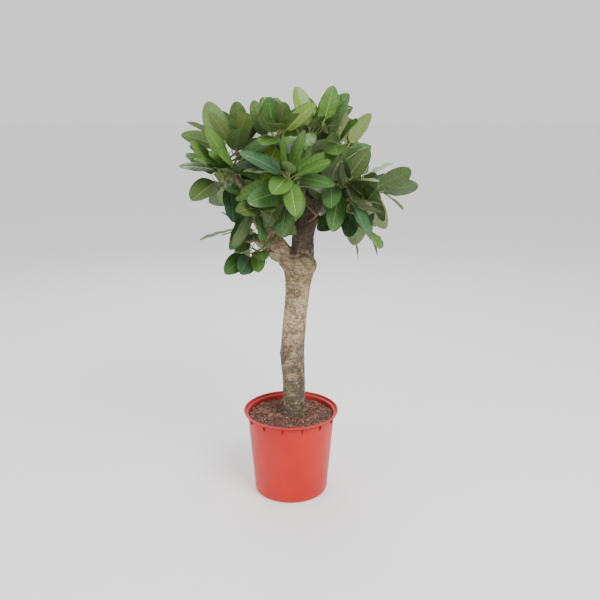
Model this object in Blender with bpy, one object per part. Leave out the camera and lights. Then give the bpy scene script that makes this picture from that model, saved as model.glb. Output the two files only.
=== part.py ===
"""A potted banyan tree: a red pot of soil, a trunk that forks in two, and a crown of large oval leaves.

Metres, +Z up. The origin is the middle of the pot's underside, and the tree is seen from the front along +Y.
Each piece is one closed solid. The foliage is made of masses: a stem, its leafy shoots and their leaves.
"""

import math
import random
from dataclasses import dataclass, field

import bmesh
import bpy
from mathutils import Vector, noise
from mathutils.bvhtree import BVHTree

# Clearances, and the corner that parts smooth shading
SHARP = math.radians(40)  # a sharper corner isn't shaded smooth
GAP = 0.0003  # between solids that touch
CUT_GAP = 0.0004  # how far a limb is cut back from the limb that carries it

# Pot
RIM_R = 0.170
POT_HEIGHT = 0.309
POT_WALL = 0.0028
COLLAR_HEIGHT = 0.0120  # the flared band under the rim
COLLAR_STEP = 0.0140  # how far the rim stands out from the wall
COLLAR_FOOT = 0.0095  # how far the collar's lower edge does
LIP = 0.0062  # how wide the rim is on top
WALL_TOP_R = RIM_R - COLLAR_STEP
WALL_FOOT_R = 0.1320
FOOT_R = 0.1235
FOOT_HEIGHT = 0.010
RIB_COUNT = 14
RIB_HEIGHT = 0.021
RIB_WIDTH = 0.0035
RIB_TURN = 0.095  # of the spacing between two ribs
POT_SIDES = 40

# Soil
SOIL_TOP = 0.2870
SOIL_DISH = 0.004  # how far the soil falls from the trunk to the wall
SOIL_FLAT_R = 0.058  # the flat that the trunk stands on
SOIL_BUMP = 0.0022

# Limbs: points of each centre line, with the limb's radius there
TRUNK = (
    (0.0115, 0.000, SOIL_TOP + GAP, 0.0412),
    (0.0120, 0.000, 0.330, 0.0396),
    (0.0105, 0.000, 0.420, 0.0404),
    (0.0060, 0.000, 0.500, 0.0422),
    (0.0080, 0.000, 0.570, 0.0412),
    (0.0142, 0.000, 0.642, 0.0405),
    (0.0213, 0.000, 0.715, 0.0408),
    (0.0252, 0.000, 0.775, 0.0440),
    (0.0290, 0.000, 0.822, 0.0520),
    (0.0240, 0.000, 0.860, 0.0545),
    (0.0200, 0.000, 0.888, 0.0360),
)
BOUGH_RIGHT = (
    (0.0400, 0.003, 0.835, 0.0385),
    (0.0425, 0.006, 0.890, 0.0385),
    (0.0435, 0.009, 0.946, 0.0375),
    (0.0625, 0.016, 1.010, 0.0358),
    (0.0850, 0.024, 1.090, 0.0310),
    (0.0930, 0.032, 1.150, 0.0250),
)
BOUGH_LEFT = (
    (0.0120, 0.000, 0.835, 0.0360),
    (-0.0370, -0.008, 0.899, 0.0322),
    (-0.0680, -0.014, 0.948, 0.0300),
    (-0.0965, -0.018, 0.998, 0.0288),
    (-0.1260, -0.020, 1.055, 0.0240),
)
# Knots on the trunk: middle, reach and height
KNOTS = (
    ((0.082, -0.010, 0.840), 0.036, 0.010),
    ((-0.040, -0.006, 0.522), 0.022, 0.004),
)
RING_STEP = 0.034  # along a limb
RING_HINT = Vector((0.3, 1.0, 0.1))  # the first side of each ring faces about this way
LIMB_SIDES = 14
BRANCH_SIDES = 7
BRANCH_R = (0.0125, 0.0078)  # at the root and the tip of a small bough
BRANCH_SHARE = 0.52  # of the way from the limb to the middle of its mass of leaves
BRANCH_SAG = 0.10  # of its length

# Shoots and leaves
STEM_R = 0.0060
SHOOT_R = (0.0050, 0.0036)  # three-sided, so half as thick across a side
SHOOT_SIDES = 3
LEAFY = 0.060  # the end of a shoot that bears leaves
BUD = 0.014
BEND_LIMIT = math.cos(math.radians(50))
SHOOT_LENGTH_MIN = 0.055
SHOOT_STEPS = (0.0, 0.4, 0.75, 1.0)
LEAVES_PER_SHOOT = 7
GOLDEN = math.radians(137.5)
LEAF_LENGTH = 0.128
LEAF_WIDTH = 0.56  # of its length
LEAF_THICK = 0.0016
STALK = 0.034
STALK_R = 0.0017
STALK_ROOT_R = 0.0009  # sunk in the shoot
BLADE_RINGS = ((0.25, 0.92), (0.75, 0.84))  # place along the blade, share of its width
FOLD = 0.10  # how far the edges of a blade rise from the midrib, as a share of half its width
ARCH = 0.09  # how far a blade's tip bends down, as a share of its length
CLEAR = 0.0022  # kept free round each leaf
SPACE = 0.07  # how far a leaf's middle may pass into the space of the next mass
TRIES = 4  # turns a leaf may take to find room
HEART = Vector((0.020, 0.020, 1.060))  # the shoots spread from here


@dataclass
class Mass:
    """One mass of leaves: its limb and how far up that carries it, its middle, its reach and a seed a shoot.

    Its late shoots grow after those of all the masses, in the room that is left.
    """

    name: str
    limb: str
    along: float
    middle: tuple
    reach: tuple
    seeds: tuple
    late: tuple = ()


LIMBS = {"right": BOUGH_RIGHT, "left": BOUGH_LEFT}
MASSES = (
    Mass("right", "right", 0.9, (0.275, -0.01, 1.105), (0.075, 0.08, 0.05), (1809, 1802, 1864, 1979), (9438,)),
    Mass("left", "left", 0.96, (-0.255, -0.01, 1.125), (0.075, 0.08, 0.055), (2246, 1699, 2004, 2104), (8511,)),
    Mass("lower_left", "left", 0.42, (-0.155, -0.02, 0.925), (0.06, 0.06, 0.06), (1626, 1972, 1833)),
    Mass("lower_right", "right", 0.58, (0.215, -0.02, 1.01), (0.07, 0.07, 0.05),
         (1712, 2128, 1829), (1416, 11745)),
    Mass("upper_right", "right", 0.98, (0.195, 0.01, 1.235), (0.065, 0.08, 0.05),
         (2062, 1712, 1627, 1797), (866,)),
    Mass("upper_left", "left", 0.99, (-0.215, 0, 1.205), (0.075, 0.08, 0.05),
         (2126, 2131, 1811, 1753, 2164), (1163,)),
    Mass("top_left", "right", 0.96, (-0.085, 0, 1.255), (0.075, 0.09, 0.04), (2015, 2216, 2025, 1789, 2228)),
    Mass("top_right", "right", 1.00, (0.07, 0, 1.285), (0.075, 0.08, 0.04), (2029, 1709, 1700)),
    Mass("front", "right", 0.72, (0.01, -0.145, 1.12), (0.07, 0.06, 0.07), (1623, 1873, 2156, 1628)),
    Mass("front_left", "left", 0.88, (-0.13, -0.13, 1.085), (0.07, 0.06, 0.07), (1671, 1893)),
    Mass("front_right", "right", 0.8, (0.145, -0.13, 1.13), (0.07, 0.06, 0.07), (2028, 2184, 1566, 2190)),
    Mass("back_left", "left", 0.93, (-0.11, 0.16, 1.12), (0.08, 0.07, 0.08), (2193, 1523, 1617, 2241, 2073)),
    Mass("back_right", "right", 0.86, (0.11, 0.18, 1.13), (0.09, 0.07, 0.08), (1583, 2038, 2224, 1954, 1958)),
    Mass("back_top", "right", 0.94, (0.03, 0.15, 1.255), (0.09, 0.06, 0.04), (1663, 1787, 1940, 1845)),
    Mass("low_left", "left", 0.3, (-0.15, -0.03, 0.862), (0.06, 0.06, 0.05), (8324, 16150)),
)

COLOURS = {  # base colour, roughness
    "pot": ((0.68, 0.10, 0.065), 0.45),
    "soil": ((0.10, 0.055, 0.040), 0.95),
    "bark": ((0.30, 0.24, 0.17), 0.85),
    "leaf": ((0.10, 0.20, 0.05), 0.55),
}


def material(name):
    """The material of that name, made the first time it is asked for."""
    if name in bpy.data.materials:
        return bpy.data.materials[name]
    made = bpy.data.materials.new(name)
    made.use_nodes = True
    shader = made.node_tree.nodes["Principled BSDF"]
    colour, roughness = COLOURS[name]
    shader.inputs["Base Color"].default_value = (*colour, 1.0)
    shader.inputs["Roughness"].default_value = roughness
    shader.inputs["Metallic"].default_value = 0.0
    return made


def add_object(name, points, faces, colour, collection=None):
    """An object from points and faces, with its faces turned outwards."""
    mesh = bpy.data.meshes.new(name)
    mesh.from_pydata([tuple(p) for p in points], [], faces)
    shape = bmesh.new()
    shape.from_mesh(mesh)
    bmesh.ops.recalc_face_normals(shape, faces=shape.faces)
    shape.to_mesh(mesh)
    shape.free()
    mesh.materials.append(material(colour))
    made = bpy.data.objects.new(name, mesh)
    (collection or bpy.context.scene.collection).objects.link(made)
    return made


def apply_modifiers(item):
    """Gives an object the mesh that its modifiers make, and drops them."""
    depsgraph = bpy.context.evaluated_depsgraph_get()
    made = bpy.data.meshes.new_from_object(item.evaluated_get(depsgraph))
    item.modifiers.clear()
    item.data = made


def lofted(rings, start=None, end=None):
    """Points and faces of a tube through rings of points, each end a flat cap or, if it has a point, a cone."""
    points = [p for ring in rings for p in ring]
    count = len(rings[0])
    faces = []
    for i in range(len(rings) - 1):
        for j in range(count):
            a, b = i * count + j, i * count + (j + 1) % count
            faces.append((a, b, b + count, a + count))
    for first, tip, order in ((0, start, -1), ((len(rings) - 1) * count, end, 1)):
        loop = list(range(first, first + count))[::order]
        if tip is None:
            faces.append(tuple(loop))
            continue
        points.append(tip)
        faces += [(loop[j], loop[(j + 1) % count], len(points) - 1) for j in range(count)]
    return points, faces


def turned(profile, sides):
    """Points and faces of a solid turned about Z, from (radius, height) points that begin and end on it."""
    rings = []
    for radius, height in profile[1:-1]:
        angles = [2 * math.pi * k / sides for k in range(sides)]
        rings.append([Vector((radius * math.cos(a), radius * math.sin(a), height)) for a in angles])
    return lofted(rings, Vector((0, 0, profile[0][1])), Vector((0, 0, profile[-1][1])))


def spline(controls, share):
    """The point of a smooth curve through evenly spaced controls, at a share of the way from 0 to 1."""
    spot = min(max(share, 0.0), 1.0) * (len(controls) - 1)
    i = min(int(spot), len(controls) - 2)
    t = spot - i
    p0, p1 = controls[max(i - 1, 0)], controls[i]
    p2, p3 = controls[i + 1], controls[min(i + 2, len(controls) - 1)]
    return tuple(
        0.5 * (2 * b + (c - a) * t + (2 * a - 5 * b + 4 * c - d) * t * t + (3 * b - a - 3 * c + d) * t**3)
        for a, b, c, d in zip(p0, p1, p2, p3, strict=True)
    )


def ring_round(centre, along, radius, sides, hint):
    """A ring of points round a centre, square to a direction, with its first point towards hint."""
    across = (hint - along * hint.dot(along)).normalized()
    other = along.cross(across)
    angles = [2 * math.pi * k / sides for k in range(sides)]
    return [centre + radius * (math.cos(a) * across + math.sin(a) * other) for a in angles]


def tube(path, radii, sides, hint=None):
    """Rings along a path of points, each square to the path and turned as little as can be from the last."""
    rings = []
    hint = hint or (path[1] - path[0]).orthogonal()
    for i, (centre, radius) in enumerate(zip(path, radii, strict=True)):
        along = (path[min(i + 1, len(path) - 1)] - path[max(i - 1, 0)]).normalized()
        rings.append(ring_round(centre, along, radius, sides, hint))
        hint = rings[-1][0] - centre
    return rings


def stations(controls):
    """The centre line of a limb and its radius, at about one station every RING_STEP."""
    length = sum(math.dist(a[:3], b[:3]) for a, b in zip(controls, controls[1:], strict=False))
    count = max(3, round(length / RING_STEP))
    found = [spline(controls, k / count) for k in range(count + 1)]
    return [Vector(s[:3]) for s in found], [s[3] for s in found]


def swell(points, middle, axis, reach, height):
    """Raises a knot: the points within reach of its middle move away from the limb's axis."""
    for i, p in enumerate(points):
        near = 1 - (p - middle).length_squared / reach**2
        if near > 0:
            outward = p - axis
            outward.z = 0
            points[i] = p + outward.normalized() * height * near**2


def shade_round(item):
    """Shades an object's faces smooth, with an edge kept sharp where they meet at a corner."""
    item.data.shade_smooth()
    item.data.set_sharp_from_angle(angle=SHARP)
    return item


def is_closed(mesh):
    """True if every edge of a mesh lies between two faces."""
    shape = bmesh.new()
    shape.from_mesh(mesh)
    closed = all(edge.is_manifold for edge in shape.edges)
    shape.free()
    return closed


def join(base, collection):
    """Fuses every object of a collection into base by one Boolean union, and removes them."""
    before = base.data
    for solver in ("EXACT", "MANIFOLD"):
        base.data = before
        union = base.modifiers.new("union", "BOOLEAN")
        union.operation = "UNION"
        union.operand_type = "COLLECTION"
        union.collection = collection
        union.solver = solver
        apply_modifiers(base)
        if is_closed(base.data):
            break
    for item in list(collection.objects):
        bpy.data.objects.remove(item)
    bpy.data.collections.remove(collection)


def make_pot():
    """The pot: a tapered wall with a flared collar up to its rim, ribs under the collar, and a closed floor."""
    step = POT_HEIGHT - COLLAR_HEIGHT
    profile = (
        (0, 0),
        (FOOT_R, 0),
        (FOOT_R + 0.006, 0.003),
        (WALL_FOOT_R, FOOT_HEIGHT),
        (WALL_TOP_R, step),
        (WALL_TOP_R + COLLAR_FOOT, step + 0.0006),
        (RIM_R, POT_HEIGHT - 0.0035),
        (RIM_R - 0.0006, POT_HEIGHT - 0.0008),
        (RIM_R - 0.0016, POT_HEIGHT),
        (RIM_R - LIP + 0.0008, POT_HEIGHT),
        (RIM_R - LIP, POT_HEIGHT - 0.0008),
        (WALL_TOP_R + COLLAR_FOOT - POT_WALL - 0.0006, step + POT_WALL + 0.0010),
        (WALL_TOP_R - POT_WALL, step + POT_WALL - 0.0004),
        (WALL_FOOT_R - POT_WALL, FOOT_HEIGHT),
        (FOOT_R, POT_WALL),
        (0, POT_WALL),
    )
    pot = add_object("pot", *turned(profile, POT_SIDES), "pot")
    ribs = bpy.data.collections.new("ribs")
    bpy.context.scene.collection.children.link(ribs)
    for k in range(RIB_COUNT):
        angle = 2 * math.pi * (k + RIB_TURN) / RIB_COUNT
        out = Vector((math.cos(angle), math.sin(angle), 0))
        side = Vector((-out.y, out.x, 0)) * RIB_WIDTH / 2
        inner = WALL_TOP_R - POT_WALL / 2
        section = (
            out * inner + Vector((0, 0, step + POT_WALL / 2)),
            out * (WALL_TOP_R + COLLAR_FOOT * 0.9) + Vector((0, 0, step + 0.0012)),
            out * (WALL_TOP_R + COLLAR_FOOT * 0.2) + Vector((0, 0, step - RIB_HEIGHT * 0.9)),
            out * (inner + 0.0004) + Vector((0, 0, step - RIB_HEIGHT)),
        )
        rings = [[p - side for p in section], [p + side for p in section]]
        add_object(f"rib_{k}", *lofted(rings), "pot", ribs)
    join(pot, ribs)
    return shade_round(pot)


def make_soil():
    """The soil: it fills the pot, is level under the trunk, and falls a little to the wall, with a lumpy top."""
    step = POT_HEIGHT - COLLAR_HEIGHT
    slope = (WALL_TOP_R - WALL_FOOT_R) / (step - FOOT_HEIGHT)
    edge_z = SOIL_TOP - SOIL_DISH
    edge_r = WALL_TOP_R - POT_WALL - slope * (step - edge_z) - 4 * GAP
    profile = (
        (0, POT_WALL + GAP),
        (FOOT_R - 0.002, POT_WALL + GAP),
        (WALL_FOOT_R - POT_WALL - 0.0015, FOOT_HEIGHT + 0.003),
        (edge_r, edge_z),
        (edge_r * 0.86, edge_z + SOIL_DISH * 0.3),
        (edge_r * 0.68, edge_z + SOIL_DISH * 0.6),
        (edge_r * 0.50, SOIL_TOP - 0.0004),
        (SOIL_FLAT_R, SOIL_TOP),
        (0, SOIL_TOP),
    )
    points, faces = turned(profile, POT_SIDES)
    for i, p in enumerate(points):
        if math.hypot(p.x, p.y) > SOIL_FLAT_R + 0.001 and p.z > edge_z + 0.0005:
            points[i] = p + Vector((0, 0, SOIL_BUMP * (noise.noise(p * 38.0) - 0.3)))
    return shade_round(add_object("soil", points, faces, "soil"))


def limb_shape(controls, sides, spare=0.0, knots=()):
    """Points and faces of a tapering limb along its control points, with its skin moved out by spare.

    Its four-sided faces aren't flat, so each is halved one way, the same way in the limb and its cutter.
    """
    path, radii = stations(controls)
    path[0] = path[0] - (path[1] - path[0]).normalized() * spare
    path[-1] = path[-1] + (path[-1] - path[-2]).normalized() * spare
    rings = tube(path, [r + spare for r in radii], sides, RING_HINT)
    if controls is TRUNK:
        rings[0] = [Vector((p.x, p.y, path[0].z)) for p in rings[0]]
    points, faces = lofted(rings)
    for middle, reach, height in knots:
        axis = min(path, key=lambda p: abs(p.z - middle[2]))
        swell(points, Vector(middle), axis, reach, height)
    halves = [half for f in faces if len(f) == 4 for half in ((f[0], f[1], f[2]), (f[0], f[2], f[3]))]
    return points, halves + [f for f in faces if len(f) != 4]


def limb_plans():
    """Name, centre line, sides and knots of the trunk, its boughs and the small bough of each mass."""
    plans = [("trunk", TRUNK, LIMB_SIDES, KNOTS)]
    plans += [("bough_" + name, controls, LIMB_SIDES, ()) for name, controls in LIMBS.items()]
    plans += [("branch_" + mass.name, branch_controls(mass), BRANCH_SIDES, ()) for mass in MASSES]
    return plans


def make_limbs():
    """The trunk, its two boughs and the small bough of each mass. Each is cut clear of those before it."""
    cutters = []
    for name, controls, sides, knots in limb_plans():
        limb = add_object(name, *limb_shape(controls, sides, knots=knots), "bark")
        for cutter in cutters:
            cut = limb.modifiers.new("cut", "BOOLEAN")
            cut.operation = "DIFFERENCE"
            cut.object = cutter
            cut.solver = "EXACT"
            apply_modifiers(limb)
        shade_round(limb)
        cutters.append(add_object("cutter", *limb_shape(controls, sides, CUT_GAP, knots), "bark"))
    for cutter in cutters:
        bpy.data.objects.remove(cutter)


def branch_controls(mass):
    """The centre line of the small bough that carries a mass: out of its limb, with a sag, to its leaves."""
    root = Vector(spline(LIMBS[mass.limb], mass.along)[:3])
    tip = root.lerp(Vector(mass.middle), BRANCH_SHARE)
    bend = root.lerp(tip, 0.5) - Vector((0, 0, BRANCH_SAG * (tip - root).length))
    root_r, tip_r = BRANCH_R
    return ((*root, root_r), (*bend, (root_r + tip_r) / 2), (*tip, tip_r))


def stem_path(mass):
    """The centre line of a mass's own stem, from GAP past the tip of its small bough to its middle."""
    path, _ = stations(branch_controls(mass))
    way = (path[-1] - path[-2]).normalized()
    start = path[-1] + way * GAP
    middle = Vector(mass.middle)
    reach = (middle - start).length
    return [start, start + way * 0.2 * reach, start.lerp(middle, 0.6) + way * 0.03 * reach, middle]


def stem_rings(mass, spare=0.0):
    """Rings along a mass's stem. The first one faces the last ring of the small bough."""
    path, radii = stations(branch_controls(mass))
    last = tube(path, radii, BRANCH_SIDES, RING_HINT)[-1]
    sizes = [r + spare for r in (radii[-1], STEM_R * 1.1, STEM_R, SHOOT_R[0])]
    return tube(stem_path(mass), sizes, BRANCH_SIDES, last[0] - path[-1])


@dataclass
class Leaf:
    """A leaf: where its stalk leaves the shoot, where its blade begins, how it runs and faces, and its size."""

    root: Vector
    neck: Vector
    along: Vector
    face: Vector
    length: float
    width: float
    age: float

    def spine(self, share):
        """A point of the midrib, which arches towards the leaf's back."""
        return self.neck + self.along * self.length * share - self.face * self.length * ARCH * share**2

    def blade(self, grow=0.0):
        """Three points round the blade at each of its stations: left edge, right edge and keel."""
        side = self.along.cross(self.face)
        rings = []
        for share, wide in BLADE_RINGS:
            half = self.width / 2 * wide
            out = side * (half + grow)
            lift = self.face * (FOLD * half + grow)
            keel = self.face * (LEAF_THICK + grow)
            middle = self.spine(share)
            rings.append([middle - out + lift, middle + out + lift, middle - keel])
        return rings

    def solid(self):
        """Points and faces of the stalk and the blade, in one closed piece."""
        side = self.along.cross(self.face)
        ends = []
        for p, r in ((self.root, STALK_ROOT_R), (self.neck, STALK_R)):
            ends.append([p - side * r, p + side * r, p - self.face * r])
        return lofted([*ends, *self.blade()], end=self.spine(1.0))

    def envelope(self):
        """Points and faces that stand CLEAR outside the blade, to test it for room."""
        margin = self.along * CLEAR
        return lofted(self.blade(CLEAR), self.neck - margin, self.spine(1.0) + margin)

    def stalk_envelope(self):
        """Points and faces that stand clear of the stalk, from outside its shoot to the blade."""
        way = (self.neck - self.root).normalized()
        ends = (self.root + way * SHOOT_R[0], self.neck - way * CLEAR)
        return lofted([ring_round(p, way, STALK_R + CLEAR / 2, 3, Vector((0.3, 0.5, 0.9))) for p in ends])


@dataclass
class Room:
    """What stands in the crown: each shape with its owner, its middle, its reach and a tree of its faces."""

    items: list = field(default_factory=list)

    def add(self, owner, points, faces):
        middle = sum(points, Vector()) / len(points)
        reach = max((p - middle).length for p in points)
        self.items.append((owner, middle, reach, BVHTree.FromPolygons(points, faces)))

    def is_free(self, points, faces, ignore=()):
        """True if a shape crosses nothing but the shapes whose owners are ignored."""
        middle = sum(points, Vector()) / len(points)
        reach = max((p - middle).length for p in points)
        tree = None
        for owner, other_middle, other_reach, other in self.items:
            if (other_middle - middle).length > reach + other_reach or owner in ignore:
                continue
            tree = tree or BVHTree.FromPolygons(points, faces)
            if tree.overlap(other):
                return False
        return True


def keeps_its_space(mass, leaf):
    """True if the middle of a leaf lies in its own mass's space, or not far into the next."""
    spot = leaf.spine(0.5)
    own = (spot - Vector(mass.middle)).length
    return own < SPACE + min((spot - Vector(m.middle)).length for m in MASSES)


def shoot_path(mass, draw):
    """The centre line of a shoot: from its mass's stem to its own place, in a bend that ends outwards."""
    stem = stem_path(mass)
    drift = Vector([draw.uniform(-1, 1) for _ in range(3)])
    tip = stem[3] + Vector([r * c for r, c in zip(mass.reach, drift, strict=True)])
    outward = (tip - HEART).normalized() * draw.uniform(0.5, 1.2)
    heading = (outward + Vector((0, 0, 0.35)) + drift * 0.45).normalized()
    share = draw.uniform(1.3, 3.0)
    start = stem[int(share)].lerp(stem[min(int(share) + 1, 3)], share - int(share))
    bend = tip - heading * (tip - start).length * 0.5
    return [start.lerp(bend, t).lerp(bend.lerp(tip, t), t) for t in SHOOT_STEPS]


def runs_smoothly(path):
    """True if a path is long enough to bear leaves and does not turn back."""
    steps = [b - a for a, b in zip(path, path[1:], strict=False)]
    turns = [a.normalized().dot(b.normalized()) for a, b in zip(steps, steps[1:], strict=False)]
    return min(turns) > BEND_LIMIT and sum(s.length for s in steps) > SHOOT_LENGTH_MIN


def point_back(path, distance):
    """The point of a path at a distance back from its tip, and the way the path runs there."""
    for a, b in zip(path[-2::-1], path[:0:-1], strict=True):
        if distance <= (b - a).length:
            break
        distance -= (b - a).length
    way = (b - a).normalized()
    return b - way * min(distance, (b - a).length), way


def draw_leaf(draw, path, i, turn):
    """The i-th leaf of a shoot, counted from its oldest, turned about the shoot by an angle."""
    age = 1 - i / (LEAVES_PER_SHOOT - 1)
    root, heading = point_back(path, 0.003 + (LEAFY - 0.003) * age**1.2)
    flat = heading.orthogonal().normalized()
    radial = flat * math.cos(turn) + heading.cross(flat) * math.sin(turn)
    lean = math.radians(24 + 60 * age + draw.uniform(-12, 12))
    way = (heading * math.cos(lean) + radial * math.sin(lean)).normalized()
    neck = root + way * STALK * (0.55 + 0.65 * age) * draw.uniform(0.85, 1.2)
    sag = Vector((0, 0, -(0.08 + 0.30 * age) * draw.uniform(0.2, 1.6)))
    along = (way + sag).normalized()
    facing = heading * 0.8 + Vector((0, 0, 0.5)) + heading.cross(flat) * draw.uniform(-0.5, 0.5)
    face = (facing - along * facing.dot(along)).normalized()
    length = LEAF_LENGTH * (0.70 + 0.36 * math.sin(math.pi * (0.12 + 0.6 * age))) * draw.uniform(0.86, 1.12)
    return Leaf(root, neck, along, face, length, length * LEAF_WIDTH * draw.uniform(0.88, 1.08), age)


def twig_envelope(path, spare=CLEAR):
    """Points and faces that stand clear of a shoot."""
    radii = [r + spare for r in (SHOOT_R[0], SHOOT_R[0], SHOOT_R[1], SHOOT_R[1])]
    return lofted(tube(path, radii, SHOOT_SIDES))


def grow_shoot(mass, seed, room):
    """One shoot and its leaves by the seeded rule. A leaf that finds no room in a few turns is left out."""
    draw = random.Random(f"{mass.name} {seed}")
    path = shoot_path(mass, draw)
    own = (mass.name + " twig", mass.name + " stalk")
    twig = twig_envelope(path)
    if not runs_smoothly(path) or not room.is_free(*twig, ignore=own):
        return path, [], []
    added = Room(list(room.items))
    added.add(own[0], *twig)
    phase = draw.uniform(0, 2 * math.pi)
    leaves = []
    for i in range(LEAVES_PER_SHOOT):
        for attempt in range(TRIES):
            leaf = draw_leaf(draw, path, i, phase + GOLDEN * i + attempt * 0.45)
            blade, stalk = leaf.envelope(), leaf.stalk_envelope()
            if keeps_its_space(mass, leaf) and added.is_free(*blade) and added.is_free(*stalk, ignore=own):
                leaves.append(leaf)
                added.add(mass.name, *blade)
                added.add(own[1], *stalk)
                break
    return path, leaves, added.items


def make_mass(mass, shoots):
    """The solid of one mass: its stem with the shoots and leaves fused on."""
    bits = bpy.data.collections.new(mass.name)
    bpy.context.scene.collection.children.link(bits)
    stem = add_object("foliage_" + mass.name, *lofted(stem_rings(mass)), "leaf")
    for shoot, leaves in shoots:
        rings = tube(shoot, (SHOOT_R[0], SHOOT_R[0], SHOOT_R[1], SHOOT_R[1]), SHOOT_SIDES)
        bud = shoot[-1] + (shoot[-1] - shoot[-2]).normalized() * BUD
        add_object("shoot", *lofted(rings, end=bud), "leaf", bits)
        for leaf in leaves:
            add_object("blade", *leaf.solid(), "leaf", bits)
    join(stem, bits)
    return stem


def start_room():
    """The room of the crown with the limbs and the stems of all the masses in it."""
    room = Room()
    for _, controls, sides, knots in limb_plans():
        room.add("limb", *limb_shape(controls, sides, knots=knots))
    for mass in MASSES:
        room.add(mass.name + " twig", *lofted(stem_rings(mass, CLEAR)))
    return room


def grow_crown():
    """The shoots and leaves of every mass, each kept clear of the limbs and of what grew before it."""
    room = start_room()
    crown = {mass.name: [] for mass in MASSES}
    order = [(mass, seed) for mass in MASSES for seed in mass.seeds]
    order += [(mass, seed) for mass in MASSES for seed in mass.late]
    for mass, seed in order:
        path, leaves, items = grow_shoot(mass, seed, room)
        if leaves:
            room.items = items
            crown[mass.name].append((path, leaves))
    return crown


def main():
    for item in list(bpy.data.objects):
        bpy.data.objects.remove(item)
    make_pot()
    make_soil()
    make_limbs()
    crown = grow_crown()
    for mass in MASSES:
        make_mass(mass, crown[mass.name])


if __name__ == "__main__":
    main()
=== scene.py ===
"""The looks of a potted banyan tree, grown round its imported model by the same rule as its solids.

Metres, +Z up, seen from the front along +Y, in the frame's own place and size.
"""

import math
import random
from dataclasses import dataclass, field

import bmesh
import bpy
import numpy as np
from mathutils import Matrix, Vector, noise
from mathutils.bvhtree import BVHTree


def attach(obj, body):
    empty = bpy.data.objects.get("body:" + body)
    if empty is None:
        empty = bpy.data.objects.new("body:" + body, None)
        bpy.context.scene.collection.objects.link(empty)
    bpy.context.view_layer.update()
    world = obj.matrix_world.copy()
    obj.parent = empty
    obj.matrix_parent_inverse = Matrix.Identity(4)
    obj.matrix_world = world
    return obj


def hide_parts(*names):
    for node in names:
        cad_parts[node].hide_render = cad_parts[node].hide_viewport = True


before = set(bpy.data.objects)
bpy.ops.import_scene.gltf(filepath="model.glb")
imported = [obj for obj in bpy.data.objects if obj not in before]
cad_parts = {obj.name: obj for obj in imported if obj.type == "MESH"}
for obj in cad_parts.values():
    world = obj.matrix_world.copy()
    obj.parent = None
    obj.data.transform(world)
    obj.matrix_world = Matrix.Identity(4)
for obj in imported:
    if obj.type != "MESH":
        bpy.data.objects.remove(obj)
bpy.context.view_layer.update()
STUDIO = 1.35  # how much brighter a white in the studio is than a screen's

# Clearances
GAP = 0.0003  # between solids that touch

# Pot
RIM_R = 0.170
POT_HEIGHT = 0.309
POT_WALL = 0.0028
COLLAR_HEIGHT = 0.0120
COLLAR_STEP = 0.0140
COLLAR_FOOT = 0.0095
LIP = 0.0062
WALL_TOP_R = RIM_R - COLLAR_STEP
WALL_FOOT_R = 0.1320
FOOT_R = 0.1235
FOOT_HEIGHT = 0.010
RIB_COUNT = 14
RIB_HEIGHT = 0.021
RIB_WIDTH = 0.0035
RIB_TURN = 0.095  # of the spacing between two ribs
POT_SIDES = 192

# Soil
SOIL_TOP = 0.2870
SOIL_DISH = 0.004
SOIL_RINGS = 46
SOIL_SIDES = 150
CHIP_COUNT = 5200
SPURS = 6  # bare twiglets a mass

# Limbs: points of each centre line, with the limb's radius there
TRUNK = (
    (0.0115, 0.000, SOIL_TOP + GAP, 0.0412),
    (0.0120, 0.000, 0.330, 0.0396),
    (0.0105, 0.000, 0.420, 0.0404),
    (0.0060, 0.000, 0.500, 0.0422),
    (0.0080, 0.000, 0.570, 0.0412),
    (0.0142, 0.000, 0.642, 0.0405),
    (0.0213, 0.000, 0.715, 0.0408),
    (0.0252, 0.000, 0.775, 0.0440),
    (0.0290, 0.000, 0.822, 0.0520),
    (0.0240, 0.000, 0.860, 0.0545),
    (0.0200, 0.000, 0.888, 0.0360),
)
BOUGH_RIGHT = (
    (0.0400, 0.003, 0.835, 0.0385),
    (0.0425, 0.006, 0.890, 0.0385),
    (0.0435, 0.009, 0.946, 0.0375),
    (0.0625, 0.016, 1.010, 0.0358),
    (0.0850, 0.024, 1.090, 0.0310),
    (0.0930, 0.032, 1.150, 0.0250),
)
BOUGH_LEFT = (
    (0.0120, 0.000, 0.835, 0.0360),
    (-0.0370, -0.008, 0.899, 0.0322),
    (-0.0680, -0.014, 0.948, 0.0300),
    (-0.0965, -0.018, 0.998, 0.0288),
    (-0.1260, -0.020, 1.055, 0.0240),
)
KNOTS = (
    ((0.082, -0.010, 0.840), 0.036, 0.010),
    ((-0.040, -0.006, 0.522), 0.022, 0.004),
)
RING_STEP = 0.034
RING_HINT = Vector((0.3, 1.0, 0.1))
LIMB_SIDES = 14
BRANCH_SIDES = 7
BRANCH_R = (0.0125, 0.0078)
BRANCH_SHARE = 0.52
BRANCH_SAG = 0.10

# Shoots and leaves
STEM_R = 0.0060
SHOOT_R = (0.0050, 0.0036)
SHOOT_SIDES = 3
LEAFY = 0.060
BUD = 0.014
BEND_LIMIT = math.cos(math.radians(50))
SHOOT_LENGTH_MIN = 0.055
SHOOT_STEPS = (0.0, 0.4, 0.75, 1.0)
LEAVES_PER_SHOOT = 7
GOLDEN = math.radians(137.5)
LEAF_LENGTH = 0.128
LEAF_WIDTH = 0.56
LEAF_THICK = 0.0016
STALK = 0.034
STALK_R = 0.0017
BLADE_RINGS = ((0.25, 0.92), (0.75, 0.84))
FOLD = 0.10
ARCH = 0.09
CLEAR = 0.0022
SPACE = 0.07
TRIES = 4
HEART = Vector((0.020, 0.020, 1.060))

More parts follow.
